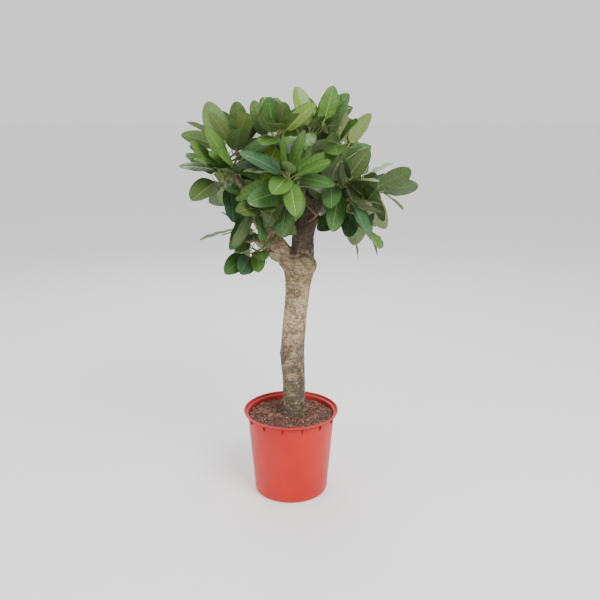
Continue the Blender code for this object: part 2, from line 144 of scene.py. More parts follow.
# Fine bark
BARK_STEP = 0.006  # between the rings that the bark is first laid on
BARK_SIDES = 40
BARK_GRAIN = 0.0026  # of the mesh that holds the bark's relief
FORK = (0.045, -0.010, 0.885)  # the middle of the crease between right bough and trunk
FORK_REACH = 0.060
# Scars of old twigs: place on the bark, reach
SCARS = (
    ((0.0235, -0.042, 0.752), 0.0135),
    ((0.018, -0.040, 0.610), 0.008),
    ((-0.012, -0.036, 0.405), 0.009),
    ((0.060, 0.020, 0.690), 0.011),
    ((-0.020, 0.030, 0.640), 0.012),
    ((0.020, 0.041, 0.470), 0.010),
    ((0.048, 0.022, 0.350), 0.009),
)


# Bare twigs that stand free of the leaves, by mass: start, the point that it bends towards, and tip
BARE_TWIGS = {
    "lower_right": (
        ((0.055, -0.014, 0.992), (0.080, -0.050, 1.004), (0.101, -0.054, 1.034)),
        ((0.062, -0.014, 0.999), (0.084, -0.058, 1.010), (0.106, -0.062, 1.048)),
        ((0.086, -0.048, 1.018), (0.070, -0.062, 1.040), (0.040, -0.066, 1.068)),
    ),
    "low_left": (
        ((-0.044, -0.025, 0.895), (-0.100, -0.050, 0.887), (-0.152, -0.052, 0.893)),
        ((-0.104, -0.046, 0.890), (-0.118, -0.054, 0.904), (-0.136, -0.052, 0.913)),
        ((-0.080, -0.040, 0.890), (-0.098, -0.056, 0.872), (-0.128, -0.056, 0.867)),
    ),
    "front_left": (
        ((-0.070, -0.036, 0.955), (-0.085, -0.060, 0.985), (-0.060, -0.070, 1.020)),
        ((-0.100, -0.040, 1.005), (-0.125, -0.060, 1.000), (-0.160, -0.062, 1.020)),
    ),
}


@dataclass
class Mass:
    """One mass of leaves: its limb and how far up that carries it, its middle, its reach and a seed a shoot.

    Its late shoots grow after those of all the masses, in the room that is left.
    """

    name: str
    limb: str
    along: float
    middle: tuple
    reach: tuple
    seeds: tuple
    late: tuple = ()


LIMBS = {"right": BOUGH_RIGHT, "left": BOUGH_LEFT}
MASSES = (
    Mass("right", "right", 0.9, (0.275, -0.01, 1.105), (0.075, 0.08, 0.05), (1809, 1802, 1864, 1979), (9438,)),
    Mass("left", "left", 0.96, (-0.255, -0.01, 1.125), (0.075, 0.08, 0.055), (2246, 1699, 2004, 2104), (8511,)),
    Mass("lower_left", "left", 0.42, (-0.155, -0.02, 0.925), (0.06, 0.06, 0.06), (1626, 1972, 1833)),
    Mass("lower_right", "right", 0.58, (0.215, -0.02, 1.01), (0.07, 0.07, 0.05),
         (1712, 2128, 1829), (1416, 11745)),
    Mass("upper_right", "right", 0.98, (0.195, 0.01, 1.235), (0.065, 0.08, 0.05),
         (2062, 1712, 1627, 1797), (866,)),
    Mass("upper_left", "left", 0.99, (-0.215, 0, 1.205), (0.075, 0.08, 0.05),
         (2126, 2131, 1811, 1753, 2164), (1163,)),
    Mass("top_left", "right", 0.96, (-0.085, 0, 1.255), (0.075, 0.09, 0.04), (2015, 2216, 2025, 1789, 2228)),
    Mass("top_right", "right", 1.00, (0.07, 0, 1.285), (0.075, 0.08, 0.04), (2029, 1709, 1700)),
    Mass("front", "right", 0.72, (0.01, -0.145, 1.12), (0.07, 0.06, 0.07), (1623, 1873, 2156, 1628)),
    Mass("front_left", "left", 0.88, (-0.13, -0.13, 1.085), (0.07, 0.06, 0.07), (1671, 1893)),
    Mass("front_right", "right", 0.8, (0.145, -0.13, 1.13), (0.07, 0.06, 0.07), (2028, 2184, 1566, 2190)),
    Mass("back_left", "left", 0.93, (-0.11, 0.16, 1.12), (0.08, 0.07, 0.08), (2193, 1523, 1617, 2241, 2073)),
    Mass("back_right", "right", 0.86, (0.11, 0.18, 1.13), (0.09, 0.07, 0.08), (1583, 2038, 2224, 1954, 1958)),
    Mass("back_top", "right", 0.94, (0.03, 0.15, 1.255), (0.09, 0.06, 0.04), (1663, 1787, 1940, 1845)),
    Mass("low_left", "left", 0.3, (-0.15, -0.03, 0.862), (0.06, 0.06, 0.05), (8324, 16150)),
)


# The growth rule, as in the part's source

def lofted(rings, start=None, end=None):
    """Points and faces of a tube through rings of points, each end a flat cap or, if it has a point, a cone."""
    points = [p for ring in rings for p in ring]
    count = len(rings[0])
    faces = []
    for i in range(len(rings) - 1):
        for j in range(count):
            a, b = i * count + j, i * count + (j + 1) % count
            faces.append((a, b, b + count, a + count))
    for first, tip, order in ((0, start, -1), ((len(rings) - 1) * count, end, 1)):
        loop = list(range(first, first + count))[::order]
        if tip is None:
            faces.append(tuple(loop))
            continue
        points.append(tip)
        faces += [(loop[j], loop[(j + 1) % count], len(points) - 1) for j in range(count)]
    return points, faces


def spline(controls, share):
    """The point of a smooth curve through evenly spaced controls, at a share of the way from 0 to 1."""
    spot = min(max(share, 0.0), 1.0) * (len(controls) - 1)
    i = min(int(spot), len(controls) - 2)
    t = spot - i
    p0, p1 = controls[max(i - 1, 0)], controls[i]
    p2, p3 = controls[i + 1], controls[min(i + 2, len(controls) - 1)]
    return tuple(
        0.5 * (2 * b + (c - a) * t + (2 * a - 5 * b + 4 * c - d) * t * t + (3 * b - a - 3 * c + d) * t**3)
        for a, b, c, d in zip(p0, p1, p2, p3, strict=True)
    )


def ring_round(centre, along, radius, sides, hint):
    """A ring of points round a centre, square to a direction, with its first point towards hint."""
    across = (hint - along * hint.dot(along)).normalized()
    other = along.cross(across)
    angles = [2 * math.pi * k / sides for k in range(sides)]
    return [centre + radius * (math.cos(a) * across + math.sin(a) * other) for a in angles]


def tube(path, radii, sides, hint=None):
    """Rings along a path of points, each square to the path and turned as little as can be from the last."""
    rings = []
    hint = hint or (path[1] - path[0]).orthogonal()
    for i, (centre, radius) in enumerate(zip(path, radii, strict=True)):
        along = (path[min(i + 1, len(path) - 1)] - path[max(i - 1, 0)]).normalized()
        rings.append(ring_round(centre, along, radius, sides, hint))
        hint = rings[-1][0] - centre
    return rings


def stations(controls, step=RING_STEP):
    """The centre line of a limb and its radius, at about one station every step."""
    length = sum(math.dist(a[:3], b[:3]) for a, b in zip(controls, controls[1:], strict=False))
    count = max(3, round(length / step))
    found = [spline(controls, k / count) for k in range(count + 1)]
    return [Vector(s[:3]) for s in found], [s[3] for s in found]


def swell(points, middle, axis, reach, height):
    """Raises a knot: the points within reach of its middle move away from the limb's axis."""
    for i, p in enumerate(points):
        near = 1 - (p - middle).length_squared / reach**2
        if near > 0:
            outward = p - axis
            outward.z = 0
            points[i] = p + outward.normalized() * height * near**2


def limb_shape(controls, sides, knots=(), step=RING_STEP):
    """Points and faces of a tapering limb along its control points."""
    path, radii = stations(controls, step)
    rings = tube(path, radii, sides, RING_HINT)
    if controls is TRUNK:
        rings[0] = [Vector((p.x, p.y, path[0].z)) for p in rings[0]]
    points, faces = lofted(rings)
    for middle, reach, height in knots:
        axis = min(path, key=lambda p: abs(p.z - middle[2]))
        swell(points, Vector(middle), axis, reach, height)
    halves = [half for f in faces if len(f) == 4 for half in ((f[0], f[1], f[2]), (f[0], f[2], f[3]))]
    return points, halves + [f for f in faces if len(f) != 4]


def limb_plans():
    """Name, centre line, sides and knots of the trunk, its boughs and the small bough of each mass."""
    plans = [("trunk", TRUNK, LIMB_SIDES, KNOTS)]
    plans += [("bough_" + name, controls, LIMB_SIDES, ()) for name, controls in LIMBS.items()]
    plans += [("branch_" + mass.name, branch_controls(mass), BRANCH_SIDES, ()) for mass in MASSES]
    return plans


def branch_controls(mass):
    """The centre line of the small bough that carries a mass: out of its limb, with a sag, to its leaves."""
    root = Vector(spline(LIMBS[mass.limb], mass.along)[:3])
    tip = root.lerp(Vector(mass.middle), BRANCH_SHARE)
    bend = root.lerp(tip, 0.5) - Vector((0, 0, BRANCH_SAG * (tip - root).length))
    root_r, tip_r = BRANCH_R
    return ((*root, root_r), (*bend, (root_r + tip_r) / 2), (*tip, tip_r))


def stem_path(mass):
    """The centre line of a mass's own stem, from GAP past the tip of its small bough to its middle."""
    path, _ = stations(branch_controls(mass))
    way = (path[-1] - path[-2]).normalized()
    start = path[-1] + way * GAP
    middle = Vector(mass.middle)
    reach = (middle - start).length
    return [start, start + way * 0.2 * reach, start.lerp(middle, 0.6) + way * 0.03 * reach, middle]


def stem_rings(mass, spare=0.0):
    """Rings along a mass's stem. The first one faces the last ring of the small bough."""
    path, radii = stations(branch_controls(mass))
    last = tube(path, radii, BRANCH_SIDES, RING_HINT)[-1]
    sizes = [r + spare for r in (radii[-1], STEM_R * 1.1, STEM_R, SHOOT_R[0])]
    return tube(stem_path(mass), sizes, BRANCH_SIDES, last[0] - path[-1])


@dataclass
class Leaf:
    """A leaf: where its stalk leaves the shoot, where its blade begins, how it runs and faces, and its size."""

    root: Vector
    neck: Vector
    along: Vector
    face: Vector
    length: float
    width: float
    age: float

    def spine(self, share):
        """A point of the midrib, which arches towards the leaf's back."""
        return self.neck + self.along * self.length * share - self.face * self.length * ARCH * share**2

    def blade(self, grow=0.0):
        """Three points round the blade at each of its stations: left edge, right edge and keel."""
        side = self.along.cross(self.face)
        rings = []
        for share, wide in BLADE_RINGS:
            half = self.width / 2 * wide
            out = side * (half + grow)
            lift = self.face * (FOLD * half + grow)
            keel = self.face * (LEAF_THICK + grow)
            middle = self.spine(share)
            rings.append([middle - out + lift, middle + out + lift, middle - keel])
        return rings

    def envelope(self):
        """Points and faces that stand CLEAR outside the blade, to test it for room."""
        margin = self.along * CLEAR
        return lofted(self.blade(CLEAR), self.neck - margin, self.spine(1.0) + margin)

    def stalk_envelope(self):
        """Points and faces that stand clear of the stalk, from outside its shoot to the blade."""
        way = (self.neck - self.root).normalized()
        ends = (self.root + way * SHOOT_R[0], self.neck - way * CLEAR)
        return lofted([ring_round(p, way, STALK_R + CLEAR / 2, 3, Vector((0.3, 0.5, 0.9))) for p in ends])


@dataclass
class Room:
    """What stands in the crown: each shape with its owner, its middle, its reach and a tree of its faces."""

    items: list = field(default_factory=list)

    def add(self, owner, points, faces):
        middle = sum(points, Vector()) / len(points)
        reach = max((p - middle).length for p in points)
        self.items.append((owner, middle, reach, BVHTree.FromPolygons(points, faces)))

    def is_free(self, points, faces, ignore=()):
        """True if a shape crosses nothing but the shapes whose owners are ignored."""
        middle = sum(points, Vector()) / len(points)
        reach = max((p - middle).length for p in points)
        tree = None
        for owner, other_middle, other_reach, other in self.items:
            if (other_middle - middle).length > reach + other_reach or owner in ignore:
                continue
            tree = tree or BVHTree.FromPolygons(points, faces)
            if tree.overlap(other):
                return False
        return True


def keeps_its_space(mass, leaf):
    """True if the middle of a leaf lies in its own mass's space, or not far into the next."""
    spot = leaf.spine(0.5)
    own = (spot - Vector(mass.middle)).length
    return own < SPACE + min((spot - Vector(m.middle)).length for m in MASSES)


def shoot_bend(mass, draw):
    """Where a shoot starts on its mass's stem, the point that it bends towards, and its tip."""
    stem = stem_path(mass)
    drift = Vector([draw.uniform(-1, 1) for _ in range(3)])
    tip = stem[3] + Vector([r * c for r, c in zip(mass.reach, drift, strict=True)])
    outward = (tip - HEART).normalized() * draw.uniform(0.5, 1.2)
    heading = (outward + Vector((0, 0, 0.35)) + drift * 0.45).normalized()
    share = draw.uniform(1.3, 3.0)
    start = stem[int(share)].lerp(stem[min(int(share) + 1, 3)], share - int(share))
    return start, tip - heading * (tip - start).length * 0.5, tip


def bent(start, bend, tip, steps):
    """Points of the arc from start to tip that bends towards a third point."""
    return [start.lerp(bend, t).lerp(bend.lerp(tip, t), t) for t in steps]


def runs_smoothly(path):
    """True if a path is long enough to bear leaves and does not turn back."""
    steps = [b - a for a, b in zip(path, path[1:], strict=False)]
    turns = [a.normalized().dot(b.normalized()) for a, b in zip(steps, steps[1:], strict=False)]
    return min(turns) > BEND_LIMIT and sum(s.length for s in steps) > SHOOT_LENGTH_MIN


def point_back(path, distance):
    """The point of a path at a distance back from its tip, and the way the path runs there."""
    for a, b in zip(path[-2::-1], path[:0:-1], strict=True):
        if distance <= (b - a).length:
            break
        distance -= (b - a).length
    way = (b - a).normalized()
    return b - way * min(distance, (b - a).length), way


def draw_leaf(draw, path, i, turn):
    """The i-th leaf of a shoot, counted from its oldest, turned about the shoot by an angle."""
    age = 1 - i / (LEAVES_PER_SHOOT - 1)
    root, heading = point_back(path, 0.003 + (LEAFY - 0.003) * age**1.2)
    flat = heading.orthogonal().normalized()
    radial = flat * math.cos(turn) + heading.cross(flat) * math.sin(turn)
    lean = math.radians(24 + 60 * age + draw.uniform(-12, 12))
    way = (heading * math.cos(lean) + radial * math.sin(lean)).normalized()
    neck = root + way * STALK * (0.55 + 0.65 * age) * draw.uniform(0.85, 1.2)
    sag = Vector((0, 0, -(0.08 + 0.30 * age) * draw.uniform(0.2, 1.6)))
    along = (way + sag).normalized()
    facing = heading * 0.8 + Vector((0, 0, 0.5)) + heading.cross(flat) * draw.uniform(-0.5, 0.5)
    face = (facing - along * facing.dot(along)).normalized()
    length = LEAF_LENGTH * (0.70 + 0.36 * math.sin(math.pi * (0.12 + 0.6 * age))) * draw.uniform(0.86, 1.12)
    return Leaf(root, neck, along, face, length, length * LEAF_WIDTH * draw.uniform(0.88, 1.08), age)


def twig_envelope(path, spare=CLEAR):
    """Points and faces that stand clear of a shoot."""
    radii = [r + spare for r in (SHOOT_R[0], SHOOT_R[0], SHOOT_R[1], SHOOT_R[1])]
    return lofted(tube(path, radii, SHOOT_SIDES))


def grow_shoot(mass, seed, room):
    """One shoot and its leaves by the seeded rule. A leaf that finds no room in a few turns is left out."""
    draw = random.Random(f"{mass.name} {seed}")
    arc = shoot_bend(mass, draw)
    path = bent(*arc, SHOOT_STEPS)
    own = (mass.name + " twig", mass.name + " stalk")
    twig = twig_envelope(path)
    if not runs_smoothly(path) or not room.is_free(*twig, ignore=own):
        return arc, [], []
    added = Room(list(room.items))
    added.add(own[0], *twig)
    phase = draw.uniform(0, 2 * math.pi)
    leaves = []
    for i in range(LEAVES_PER_SHOOT):
        for attempt in range(TRIES):
            leaf = draw_leaf(draw, path, i, phase + GOLDEN * i + attempt * 0.45)
            blade, stalk = leaf.envelope(), leaf.stalk_envelope()
            if keeps_its_space(mass, leaf) and added.is_free(*blade) and added.is_free(*stalk, ignore=own):
                leaves.append(leaf)
                added.add(mass.name, *blade)
                added.add(own[1], *stalk)
                break
    return arc, leaves, added.items


def start_room():
    """The room of the crown with the limbs and the stems of all the masses in it."""
    room = Room()
    for _, controls, sides, knots in limb_plans():
        room.add("limb", *limb_shape(controls, sides, knots))
    for mass in MASSES:
        room.add(mass.name + " twig", *lofted(stem_rings(mass, CLEAR)))
    return room


def grow_crown():
    """The shoots and leaves of every mass, each kept clear of the limbs and of what grew before it."""
    room = start_room()
    crown = {mass.name: [] for mass in MASSES}
    order = [(mass, seed) for mass in MASSES for seed in mass.seeds]
    order += [(mass, seed) for mass in MASSES for seed in mass.late]
    for mass, seed in order:
        arc, leaves, items = grow_shoot(mass, seed, room)
        if leaves:
            room.items = items
            crown[mass.name].append((arc, leaves))
    return crown


# Colours and materials

def tone(red, green, blue):
    """A colour given as it looks on a screen, from 0 to 255, as linear values that suit the bright studio."""
    parts = [c / 255 for c in (red, green, blue)]
    linear = [c / 12.92 if c <= 0.04045 else ((c + 0.055) / 1.055) ** 2.4 for c in parts]
    return (*[c / STUDIO for c in linear], 1.0)


class Paint:
    """A material of one Principled shader, with short ways to add the nodes of a pattern."""

    def __init__(self, name, colour, roughness, **values):
        self.material = bpy.data.materials.new(name)
        self.material.use_nodes = True
        self.tree = self.material.node_tree
        self.shader = self.tree.nodes["Principled BSDF"]
        self.shader.inputs["Base Color"].default_value = colour
        self.shader.inputs["Roughness"].default_value = roughness
        for key, value in values.items():
            self.shader.inputs[key.replace("_", " ")].default_value = value
        self.place = None

    def add(self, kind, **links):
        """A node of a kind, with values or links for its inputs, named or numbered as in i0."""
        node = self.tree.nodes.new(kind)
        for key, value in links.items():
            socket = node.inputs[int(key[1:])] if key[0] == "i" and key[1:].isdigit() else node.inputs[key]
            if isinstance(value, bpy.types.NodeSocket):
                self.tree.links.new(value, socket)
            else:
                socket.default_value = value
        return node

    def spot(self, stretch=(1, 1, 1)):
        """The place on the object, in metres, stretched along the axes."""
        if self.place is None:
            self.place = self.add("ShaderNodeTexCoord").outputs["Object"]
        if tuple(stretch) == (1, 1, 1):
            return self.place
        return self.add("ShaderNodeMapping", Vector=self.place, Scale=stretch).outputs[0]

    def grain(self, scale, detail=3.0, stretch=(1, 1, 1), rough=0.5):
        """A noise pattern with about that many grains a metre."""
        links = {"Vector": self.spot(stretch), "Scale": scale, "Detail": detail, "Roughness": rough}
        return self.add("ShaderNodeTexNoise", **links).outputs[0]

    def step(self, value, low, high):
        """0 below low, 1 above high and smooth between them."""
        node = self.add("ShaderNodeMapRange", Value=value, **{"From Min": low, "From Max": high})
        node.interpolation_type = "SMOOTHSTEP"
        return node.outputs[0]

    def axis(self, name):
        """One coordinate of the place on the object."""
        return self.add("ShaderNodeSeparateXYZ", Vector=self.spot()).outputs[name]

    def far_from(self, middle):
        """How far the place lies from a point."""
        node = self.add("ShaderNodeVectorMath", i0=self.spot(), i1=middle)
        node.operation = "DISTANCE"
        return node.outputs["Value"]

    def times(self, a, b):
        node = self.add("ShaderNodeMath", i0=a, i1=b)
        node.operation = "MULTIPLY"
        return node.outputs[0]

    def plus(self, a, b):
        return self.add("ShaderNodeMath", i0=a, i1=b).outputs[0]

    def mix(self, share, a, b):
        """Colour a, turned into b by a share."""
        node = self.tree.nodes.new("ShaderNodeMix")
        node.data_type = "RGBA"
        for i, value in ((0, share), (6, a), (7, b)):
            if isinstance(value, bpy.types.NodeSocket):
                self.tree.links.new(value, node.inputs[i])
            else:
                node.inputs[i].default_value = value
        return node.outputs[2]

    def colour(self, socket):
        self.tree.links.new(socket, self.shader.inputs["Base Color"])

    def rough(self, socket):
        self.tree.links.new(socket, self.shader.inputs["Roughness"])

    def bump(self, socket, strength, distance):
        node = self.add("ShaderNodeBump", Height=socket, Strength=strength, Distance=distance)
        self.tree.links.new(node.outputs[0], self.shader.inputs["Normal"])


def bark_paint(name, shade_and_young_wood):
    """Beige and grey-brown bark, speckled, with pale flecks and dark pits; darker and mossy towards its foot.

    The last argument is how far the right bough's upper part turns dark brown: young wood, with painted shade.
    """
    paint = Paint(name, tone(150, 132, 112), 0.88)
    height, side = paint.axis("Z"), paint.axis("X")
    wander = paint.plus(height, paint.times(paint.grain(11, 3), 0.10))
    patch = paint.grain(20, 4, (1, 1, 1.2), 0.62)
    colour = paint.mix(paint.step(patch, 0.38, 0.62), tone(118, 98, 73), tone(182, 159, 124))
    speck = paint.grain(84, 5, (1, 1, 1.5), 0.70)
    colour = paint.mix(paint.times(paint.step(speck, 0.50, 0.38), 0.75), colour, tone(86, 70, 53))
    colour = paint.mix(paint.times(paint.step(speck, 0.52, 0.63), 0.72), colour, tone(212, 194, 160))
    warm = paint.times(paint.step(paint.grain(16, 3), 0.52, 0.66), paint.step(wander, 0.66, 0.84))
    colour = paint.mix(paint.times(warm, 0.5), colour, tone(124, 92, 64))
    fork = paint.times(paint.step(height, 0.69, 0.79), paint.step(height, 0.91, 0.85))
    rust = paint.times(paint.step(paint.grain(44, 4), 0.44, 0.58), paint.step(side, 0.036, 0.0))
    colour = paint.mix(paint.times(paint.times(rust, fork), 0.6), colour, tone(108, 74, 56))
    green = paint.times(paint.step(paint.grain(15, 4), 0.45, 0.62), paint.step(wander, 0.50, 0.66))
    colour = paint.mix(paint.times(green, 0.34), colour, tone(124, 122, 70))
    grey = paint.times(paint.step(wander, 0.65, 0.56), paint.step(paint.grain(30, 4), 0.40, 0.54))
    colour = paint.mix(paint.times(grey, 0.75), colour, tone(80, 71, 60))
    low = paint.step(wander, 0.60, 0.42)
    colour = paint.mix(paint.times(low, 0.44), colour, tone(80, 72, 58))
    moss = paint.times(paint.step(paint.grain(26, 4), 0.49, 0.62), paint.step(wander, 0.50, 0.38))
    colour = paint.mix(paint.times(moss, 0.7), colour, tone(80, 86, 44))
    # painted shade, with the young wood's own dark brown: the right bough's upper part, under the crown, turns dark
    upper = paint.plus(height, paint.times(paint.grain(34, 4, (1, 1, 0.6), 0.6), 0.24))
    high = paint.times(paint.step(upper, 0.93, 1.07), paint.step(side, -0.02, 0.02))
    colour = paint.mix(paint.times(high, shade_and_young_wood), colour, tone(52, 43, 29))
    streaks = paint.grain(70, 3, (0.9, 0.9, 1.5), 0.55)
    flecks = paint.times(paint.step(streaks, 0.62, 0.68), paint.step(wander, 1.0, 0.9))
    colour = paint.mix(paint.times(flecks, 0.42), colour, tone(218, 203, 174))
    pits = paint.step(paint.grain(120, 3, (0.6, 0.6, 1.2)), 0.39, 0.34)
    colour = paint.mix(paint.times(pits, 0.7), colour, tone(60, 50, 40))
    for middle, reach in SCARS:
        away = paint.far_from(middle)
        ring = paint.times(paint.step(away, reach * 0.55, reach * 0.8), paint.step(away, reach * 1.1, reach * 0.85))
        colour = paint.mix(paint.times(ring, 0.45), colour, tone(84, 70, 54))
        colour = paint.mix(paint.times(paint.step(away, reach * 0.40, reach * 0.22), 0.55), colour, tone(74, 60, 46))
    paint.colour(colour)
    paint.bump(paint.plus(paint.grain(230, 5, (1, 1, 1.6), 0.65), speck), 0.6, 0.0014)
    return paint.material


def pot_paint(name, red, green, blue):
    """Moulded plastic with a soft gloss, a little uneven in colour, and dusty in places."""
    paint = Paint(name, tone(red, green, blue), 0.42, Specular_IOR_Level=0.36)
    uneven = paint.step(paint.grain(7, 3), 0.35, 0.70)
    colour = paint.mix(uneven, tone(red, green, blue), tone(red * 0.95, green * 0.88, blue * 0.92))
    dust = paint.step(paint.grain(60, 5, (1, 1, 0.35), 0.7), 0.58, 0.80)
    colour = paint.mix(paint.times(dust, 0.12), colour, tone(214, 110, 90))
    paint.colour(colour)
    paint.rough(paint.plus(paint.times(paint.grain(34, 4), 0.16), 0.36))
    paint.bump(paint.grain(420, 3), 0.06, 0.0006)
    return paint.material


def soil_paint():
    """Dark reddish-brown compost."""
    paint = Paint("soil_compost", tone(70, 46, 36), 0.95)
    colour = paint.mix(paint.step(paint.grain(60, 5), 0.35, 0.65), tone(52, 33, 27), tone(104, 72, 58))
    paint.colour(colour)
    paint.bump(paint.grain(260, 6, (1, 1, 1), 0.7), 0.9, 0.003)
    return paint.material


def floor_paint():
    """A plain pale studio floor."""
    return Paint("floor_pale", (0.93, 0.93, 0.925, 1.0), 0.8).material


def plain(name, colour, roughness=0.5, **values):
    """A material of one plain colour."""
    return Paint(name, tone(*colour), roughness, **values).material


# Leaf colours, from painted sun on the crown's top to painted shade within it, and lighter for young leaves,
# each as upper side, veins, midrib, underside and veins below. The margin is a darker upper side.
LEAF_TONES = {
    "lime": ((118, 146, 56), (148, 170, 84), (178, 192, 110), (124, 144, 78), (156, 172, 98)),
    "fresh": ((90, 130, 55), (122, 152, 80), (158, 178, 106), (106, 132, 74), (142, 162, 98)),
    "mid": ((70, 110, 53), (98, 132, 74), (136, 160, 96), (106, 128, 80), (138, 156, 100)),
    # painted reflection: a leaf green with the sky's bluish sheen painted into it
    "sea": ((64, 102, 66), (94, 128, 86), (128, 150, 100), (104, 126, 90), (134, 154, 106)),
    "deep": ((54, 89, 45), (82, 112, 62), (116, 140, 82), (94, 114, 73), (124, 140, 90)),
    "olive": ((80, 100, 50), (108, 124, 70), (138, 148, 90), (108, 118, 76), (138, 148, 94)),
    "shade": ((44, 70, 38), (66, 92, 52), (96, 120, 68), (80, 98, 63), (108, 124, 80)),
}
LEAF_PARTS = ("top", "vein", "midrib", "under", "under_vein", "margin")
LEAF_ROUGH = (0.40, 0.44, 0.46, 0.62, 0.60, 0.50)


def leaf_paints():
    """The materials of each leaf colour, in the order of LEAF_TONES."""
    made = []
    for name, sides in LEAF_TONES.items():
        margin = tuple(0.74 * c for c in sides[0])
        for part, colour, roughness in zip(LEAF_PARTS, (*sides, margin), LEAF_ROUGH, strict=True):
            gloss = {} if part.startswith("under") else {"Coat_Weight": 0.06, "Coat_Roughness": 0.3}
            made.append(plain(f"leaf_{name}_{part}", colour, roughness, Specular_IOR_Level=0.3, **gloss))
    return made


# Meshes

def mesh_object(name, points, faces, materials, kinds=None, smooth=True):
    """An object from arrays of points and faces, with a material number for each face."""
    mesh = bpy.data.meshes.new(name)
    mesh.from_pydata([tuple(p) for p in points], [], [tuple(f) for f in faces])
    for made in materials:
        mesh.materials.append(made)
    if kinds is not None:
        mesh.polygons.foreach_set("material_index", np.asarray(kinds, np.int32))
    if smooth:
        mesh.shade_smooth()
    mesh.update()
    made = bpy.data.objects.new(name, mesh)
    bpy.context.scene.collection.objects.link(made)
    return made


def face_outwards(item):
    """Turns the faces of closed shapes outwards."""
    shape = bmesh.new()
    shape.from_mesh(item.data)
    bmesh.ops.recalc_face_normals(shape, faces=shape.faces)
    shape.to_mesh(item.data)
    shape.free()
    return item


def apply_modifiers(item):
    """Gives an object the mesh that its modifiers make, and drops them."""
    made = bpy.data.meshes.new_from_object(item.evaluated_get(bpy.context.evaluated_depsgraph_get()))
    item.modifiers.clear()
    item.data = made


class Batch:
    """Many small shapes gathered into one mesh."""

    def __init__(self):
        self.points, self.faces, self.kinds, self.count = [], [], [], 0

    def add(self, points, faces, kinds):
        self.points.append(np.asarray([tuple(p) for p in points], float))
        self.faces += [tuple(i + self.count for i in f) for f in faces]
        self.kinds += list(kinds) if hasattr(kinds, "__len__") else [kinds] * len(faces)
        self.count += len(points)

    def build(self, name, materials, smooth=True):
        return mesh_object(name, np.concatenate(self.points), self.faces, materials, self.kinds, smooth)


# The veins' places along the midrib, and the rows and columns of a blade's grid
VEINS = [0.07 + 0.122 * k for k in range(7)]
VEIN_HALF = 0.0036
MIDRIB = 0.034
BLADE_ROWS = [0.0, 0.006, 0.02, 0.042]
for spot, following in zip(VEINS, [*VEINS[1:], None], strict=True):
    BLADE_ROWS += [spot - VEIN_HALF, spot + VEIN_HALF]
    if following:
        BLADE_ROWS += [spot + (following - spot) * share for share in (0.35, 0.68)]
BLADE_ROWS += [0.86, 0.915, 0.955, 0.98, 0.994, 1.0]
BLADE_ROWS = np.array(BLADE_ROWS)
HALF_COLUMNS = [MIDRIB, 0.22, 0.45, 0.70, 0.92, 1.0]
BLADE_COLUMNS = np.array([-c for c in reversed(HALF_COLUMNS)] + [0.0] + HALF_COLUMNS)


def outline(share):
    """Half the width of a blade at a share of its length: round at the base, blunt at the tip."""
    widest = 0.45
    below = np.clip((widest - share) / widest, 0, 1)
    above = np.clip((share - widest) / (1 - widest), 0, 1)
    return np.where(share < widest, (1 - below**2.3) ** (1 / 2.1), (1 - above**2.05) ** (1 / 1.8))


def blade_grid():
    """The grid of a flat blade: place along and across at each point, the quilting there, and its faces."""
    rows, columns = np.meshgrid(BLADE_ROWS, BLADE_COLUMNS, indexing="ij")
    across = np.abs(columns)
    margin = rows + 0.15 * np.sin(np.pi * rows) ** 0.8
    along = rows + (margin - rows) * across**1.25
    wide = outline(margin) * columns
    ends = np.array([0.0, *VEINS, 1.0])
    cell = np.clip(np.searchsorted(ends, rows, side="right") - 1, 0, len(ends) - 2)
    inside = (rows - ends[cell]) / (ends[cell + 1] - ends[cell])
    puff = np.sin(np.pi * inside) ** 2 * np.clip(across / 0.2, 0, 1) * (1 - across**3)
    count = len(BLADE_COLUMNS)
    total = rows.size
    faces, kinds = [], []
    for i in range(len(BLADE_ROWS) - 1):
        low, high = BLADE_ROWS[i], BLADE_ROWS[i + 1]
        on_vein = any(abs((low + high) / 2 - v) < 1e-6 for v in VEINS)
        for j in range(count - 1):
            a = i * count + j
            quad = (a, a + 1, a + count + 1, a + count)
            middle = abs(BLADE_COLUMNS[j] + BLADE_COLUMNS[j + 1]) / 2
            kind = 2 if middle < MIDRIB else 5 if middle > 0.92 else 1 if on_vein else 0
            faces.append(quad)
            kinds.append(kind)
            faces.append(tuple(v + total for v in reversed(quad)))
            kinds.append(4 if kind in (1, 2) else 3)
    return along, wide, puff, across, faces, np.array(kinds)


GRID = blade_grid()


def blade_shape(leaf, draw):
    """Points of one leaf's blade, upper side then underside, on the shared grid."""
    along, wide, puff, across, faces, kinds = GRID
    half = leaf.width * 0.465
    arch = ARCH * draw.uniform(0.5, 1.5) + 0.02 * leaf.age
    fold = draw.uniform(0.06, 0.20)
    cup = draw.uniform(-0.10, 0.10)
    twist = draw.uniform(-0.16, 0.16)
    bend = draw.uniform(-0.035, 0.035)
    ripple, phase = draw.uniform(0.0004, 0.0017), draw.uniform(0, 6.28)
    waves = draw.uniform(2.0, 3.6)
    x = leaf.length * along
    y = half * wide + bend * leaf.length * along**2
    rise = half * (fold * np.abs(wide) + cup * wide**2)
    rise = rise + 0.0011 * puff * np.sqrt(leaf.length / LEAF_LENGTH)
    rise = rise + ripple * np.sin(2 * np.pi * waves * along + phase + 1.3 * np.sign(wide)) * across**2.5
    turn = twist * along
    y, rise = y * np.cos(turn) - rise * np.sin(turn), rise * np.cos(turn) + y * np.sin(turn)
    drop = arch * leaf.length * along**2
    thick = 0.0006 * (1 - across**6) + 0.0009 * (across < 1e-9) * (1 - along)
    thick[[0, -1]] = 0.0
    side = np.array(leaf.along.cross(leaf.face))
    run, face, neck = (np.array(v) for v in (leaf.along, leaf.face, leaf.neck))
    top = neck + x[..., None] * run + y[..., None] * side + (rise - drop)[..., None] * face
    under = top - thick[..., None] * face
    return np.concatenate([top.reshape(-1, 3), under.reshape(-1, 3)]), faces, kinds


